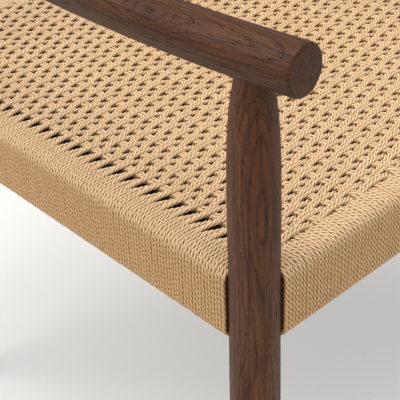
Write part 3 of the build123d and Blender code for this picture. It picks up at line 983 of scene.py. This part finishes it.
    def build(self) -> list[bpy.types.Object]:
        """Makes every cord of the seat.

        Returns:
            The pieces.
        """
        finish = CordFinish(self.rail.high).material("paper_cord")
        pieces = []
        per_group = math.ceil(self.rows / self.weft_groups)
        for group in range(self.weft_groups):
            bundle = CordBundle(f"weft_cords_{group + 1}")
            for row in range(group * per_group, min(self.rows, (group + 1) * per_group)):
                bundle.add(self.weft(row, 0))
                bundle.add(self.weft(row, 1))
            nodes = ("seat_weave", "cord_wrap_right", "cord_wrap_left")
            pieces.append(self.fitted(bundle, finish, *nodes))
        third = math.ceil(self.warps / 3)
        for name, start in (("right", 0), ("middle", third), ("left", 2 * third)):
            numbers = range(start, min(self.warps, start + third))
            bundle = CordBundle(f"warp_cords_{name}")
            for number in numbers:
                bundle.add(self.warp(number, 0))
                bundle.add(self.warp(number, 1))
            pieces.append(self.fitted(bundle, finish, "seat_weave"))
        for name, rear, y in (("front", False, 0.0), ("rear", True, self.run)):
            bundle = CordBundle(f"rail_turns_{name}")
            for x in self.wrap_places(y):
                bundle.add(self.wrap(x, rear))
            pieces.append(self.fitted(bundle, finish, f"cord_wrap_{name}"))
        return pieces

    @staticmethod
    def fitted(bundle: CordBundle, finish: bpy.types.Material, *nodes: str) -> bpy.types.Object:
        """Builds a bundle and ties it to the chair.

        Args:
            bundle: the cords.
            finish: their material.
            nodes: the CAD nodes they stand for.

        Returns:
            The piece.
        """
        piece = bundle.build(finish)
        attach(piece, "root")
        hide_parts(*nodes)
        return piece


# --------------------------------------------------------------------------- wood and fittings


# The middle of the knot on the upper side of each arm
KNOTS: dict[str, Point] = {
    "arm_right": (-0.3065, -0.2110, 0.5680),
    "arm_left": (0.2990, 0.0400, 0.5700),
}


@dataclass
class Woodwork:
    """The oak frame: legs, arms, rails, slats and plugs, each with its own cut of grain."""

    pith_away: float = 42.0 * MM
    arm_tone: float = 0.74

    def dress(self) -> list[str]:
        """Gives every oak node its finish.

        Returns:
            The nodes dressed.
        """
        ways: dict[str, tuple[Grain, Point]] = {}
        for side in ("right", "left"):
            inward = 1.0 if side == "right" else -1.0
            ways[f"leg_front_{side}"] = (Grain.UP, (1.1 * inward, 1.0, 0.0))
            ways[f"leg_rear_{side}"] = (Grain.UP, (0.8, 0.7, 0.0))
            ways[f"arm_{side}"] = (Grain.ALONG, (0.5, 0.0, -0.95))
            ways[f"seat_rail_{side}"] = (Grain.ALONG, (0.8, 0.0, 0.6))
        for name in ("front", "rear"):
            ways[f"seat_rail_{name}"] = (Grain.ACROSS, (0.0, 0.8, 0.6))
        ways["back_slat_upper"] = (Grain.ACROSS, (0.0, -0.9, -0.3))
        ways["back_slat_lower"] = (Grain.ACROSS, (0.0, 0.9, 0.5))
        ways["arm_screw_plugs"] = (Grain.ACROSS, (0.0, 0.8, 0.6))
        for node, (grain, away) in ways.items():
            low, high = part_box(node)
            middle = (low + high) / 2
            pith = tuple(middle[i] + away[i] * self.pith_away for i in range(3))
            tone = self.arm_tone if node.startswith("arm_") else 1.0
            finish = OakFinish(grain, pith, tone=tone, knot=KNOTS.get(node))
            put_on(node, finish.material(f"oak_{node}"))
        return list(ways)


def put_on(node: str, material: bpy.types.Material) -> None:
    """Gives a CAD node a material.

    Args:
        node: the node's name.
        material: the finish.
    """
    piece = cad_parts[node]
    piece.data.materials.clear()
    piece.data.materials.append(material)


@dataclass
class Fittings:
    """Dowels, nails, screws, glides, and a near-black lining under the weave that paints the shade seen
    through its holes.
    """

    beech: PlainFinish = PlainFinish((0.56, 0.36, 0.20), (0.47, 0.29, 0.15), 0.55)
    steel: PlainFinish = PlainFinish((0.42, 0.42, 0.43), (0.30, 0.29, 0.28), 0.34, 1.0)
    nylon: PlainFinish = PlainFinish((0.020, 0.018, 0.017), (0.030, 0.027, 0.025), 0.5)
    # Painted shade: a near-black sheet under the weave, so that its holes look as dark as the shade
    # under the seat.
    shade_sheet: PlainFinish = PlainFinish((0.020, 0.015, 0.012), (0.028, 0.021, 0.016), 0.8)

    def dress(self) -> list[str]:
        """Gives every fitting its finish.

        Returns:
            The nodes dressed.
        """
        beech = self.beech.material("dowel_beech")
        steel = self.steel.material("wire_steel")
        nylon = self.nylon.material("glide_nylon")
        shade_sheet = self.shade_sheet.material("lining_board")
        done = []
        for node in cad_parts:
            for start, material in (
                ("rail_dowels", beech),
                ("back_dowels", beech),
                ("cord_nails", steel),
                ("arm_screws", steel),
                ("glide_", nylon),
                ("seat_lining", shade_sheet),
            ):
                if node.startswith(start):
                    put_on(node, material)
                    done.append(node)
        return done


# --------------------------------------------------------------------------- studio


@dataclass
class Studio:
    """Floor, lights and camera."""

    floor_size: float = 14.0
    floor_colours: tuple[Colour, Colour] = ((0.56, 0.55, 0.535), (0.58, 0.57, 0.56))
    floor_glow: tuple[float, ...] = (1.0, 0.985, 0.965, 1.0)
    floor_glow_strength: float = 0.30
    sky: tuple[float, ...] = (0.93, 0.94, 0.96, 1.0)
    sky_strength: float = 0.52
    lens: float = 100.47
    place: Point = (-0.4318, -0.4056, 0.4432)
    heading: float = 43.42
    dip: float = 33.18
    roll: float = -2.19
    shift: tuple[float, float] = (0.0027, 0.0)

    def floor(self) -> bpy.types.Object:
        """Makes the pale floor.

        Returns:
            The floor.
        """
        bpy.ops.object.select_all(action="DESELECT")
        bpy.ops.mesh.primitive_plane_add(size=self.floor_size, location=(0, 0, 0))
        floor = bpy.context.object
        floor.name = "studio_floor"
        s = Shader("studio_floor")
        place = s.node("ShaderNodeTexCoord").outputs["Object"]
        cloud = s.noise(place, 1.4, 2.0, 0.5)
        colour = s.mix(s.spread(cloud, 0.3, 0.7), *self.floor_colours)
        s.feed(s.surface.inputs["Base Color"], colour)
        s.surface.inputs["Roughness"].default_value = 0.75
        s.surface.inputs["Emission Color"].default_value = self.floor_glow
        s.surface.inputs["Emission Strength"].default_value = self.floor_glow_strength
        floor.data.materials.append(s.material)
        return floor

    @staticmethod
    def lamp(
        name: str, place: Point, aim: Point, size: float, power: float, colour: Colour = (1.0, 1.0, 1.0)
    ) -> None:
        """Adds one soft area light.

        Args:
            name: its name.
            place: where it stands.
            aim: what it points at.
            size: side of its square.
            power: watts.
            colour: its tint.
        """
        data = bpy.data.lights.new(name, "AREA")
        data.size = size
        data.energy = power
        data.color = colour
        lamp = bpy.data.objects.new(name, data)
        lamp.location = place
        lamp.rotation_mode = "QUATERNION"
        lamp.rotation_quaternion = (Vector(aim) - Vector(place)).to_track_quat("-Z", "Y")
        bpy.context.scene.collection.objects.link(lamp)

    def lights(self) -> None:
        """Adds the lights and the pale surroundings."""
        self.lamp("key_softbox", (-1.9, 1.3, 2.3), (-0.1, 0.0, 0.4), 1.5, 40.0, (1.0, 0.98, 0.95))
        self.lamp("top_softbox", (-0.2, -0.2, 2.9), (-0.1, 0.0, 0.4), 2.6, 80.0)
        self.lamp("front_fill", (-1.2, -2.6, 1.5), (-0.2, -0.2, 0.4), 2.2, 9.0)
        world = bpy.data.worlds.new("studio")
        bpy.context.scene.world = world
        world.use_nodes = True
        background = world.node_tree.nodes["Background"]
        background.inputs[0].default_value = self.sky
        background.inputs[1].default_value = self.sky_strength

    def camera(self, corner: Vector, seat_top: float) -> bpy.types.Object:
        """Adds the camera.

        Args:
            corner: the right front leg's axis.
            seat_top: height of the cord on the rails.

        Returns:
            The camera.
        """
        turn, dip, roll = (math.radians(v) for v in (self.heading, self.dip, self.roll))
        right = Vector((math.cos(turn), -math.sin(turn), 0))
        ahead = Vector(
            (math.sin(turn) * math.cos(dip), math.cos(turn) * math.cos(dip), -math.sin(dip))
        )
        up = right.cross(ahead)
        rolled_right = right * math.cos(roll) + up * math.sin(roll)
        rolled_up = up * math.cos(roll) - right * math.sin(roll)
        data = bpy.data.cameras.new("camera")
        data.lens = self.lens
        data.shift_x, data.shift_y = self.shift
        data.clip_start = 0.01
        data.clip_end = 100.0
        camera = bpy.data.objects.new("camera", data)
        matrix = Matrix((rolled_right, rolled_up, -ahead)).transposed().to_4x4()
        matrix.translation = Vector((corner.x, corner.y, seat_top)) + Vector(self.place)
        camera.matrix_world = matrix
        bpy.context.scene.collection.objects.link(camera)
        bpy.context.scene.camera = camera
        return camera


def main() -> None:
    """Dresses the frame, weaves the seat, and sets up the studio."""
    logging.basicConfig(level=logging.INFO)
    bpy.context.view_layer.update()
    for node in Woodwork().dress():
        log.info("oak: %s", node)
    for node in Fittings().dress():
        log.info("fitting: %s", node)
    seat = WovenSeat()
    for piece in seat.build():
        log.info("cord: %s, %d faces", piece.name, len(piece.data.polygons))
    studio = Studio()
    studio.floor()
    studio.lights()
    studio.camera(seat.corner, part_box("cord_wrap_front")[1].z)
    bpy.context.scene.view_settings.view_transform = "Standard"


if __name__ == "__main__":
    main()
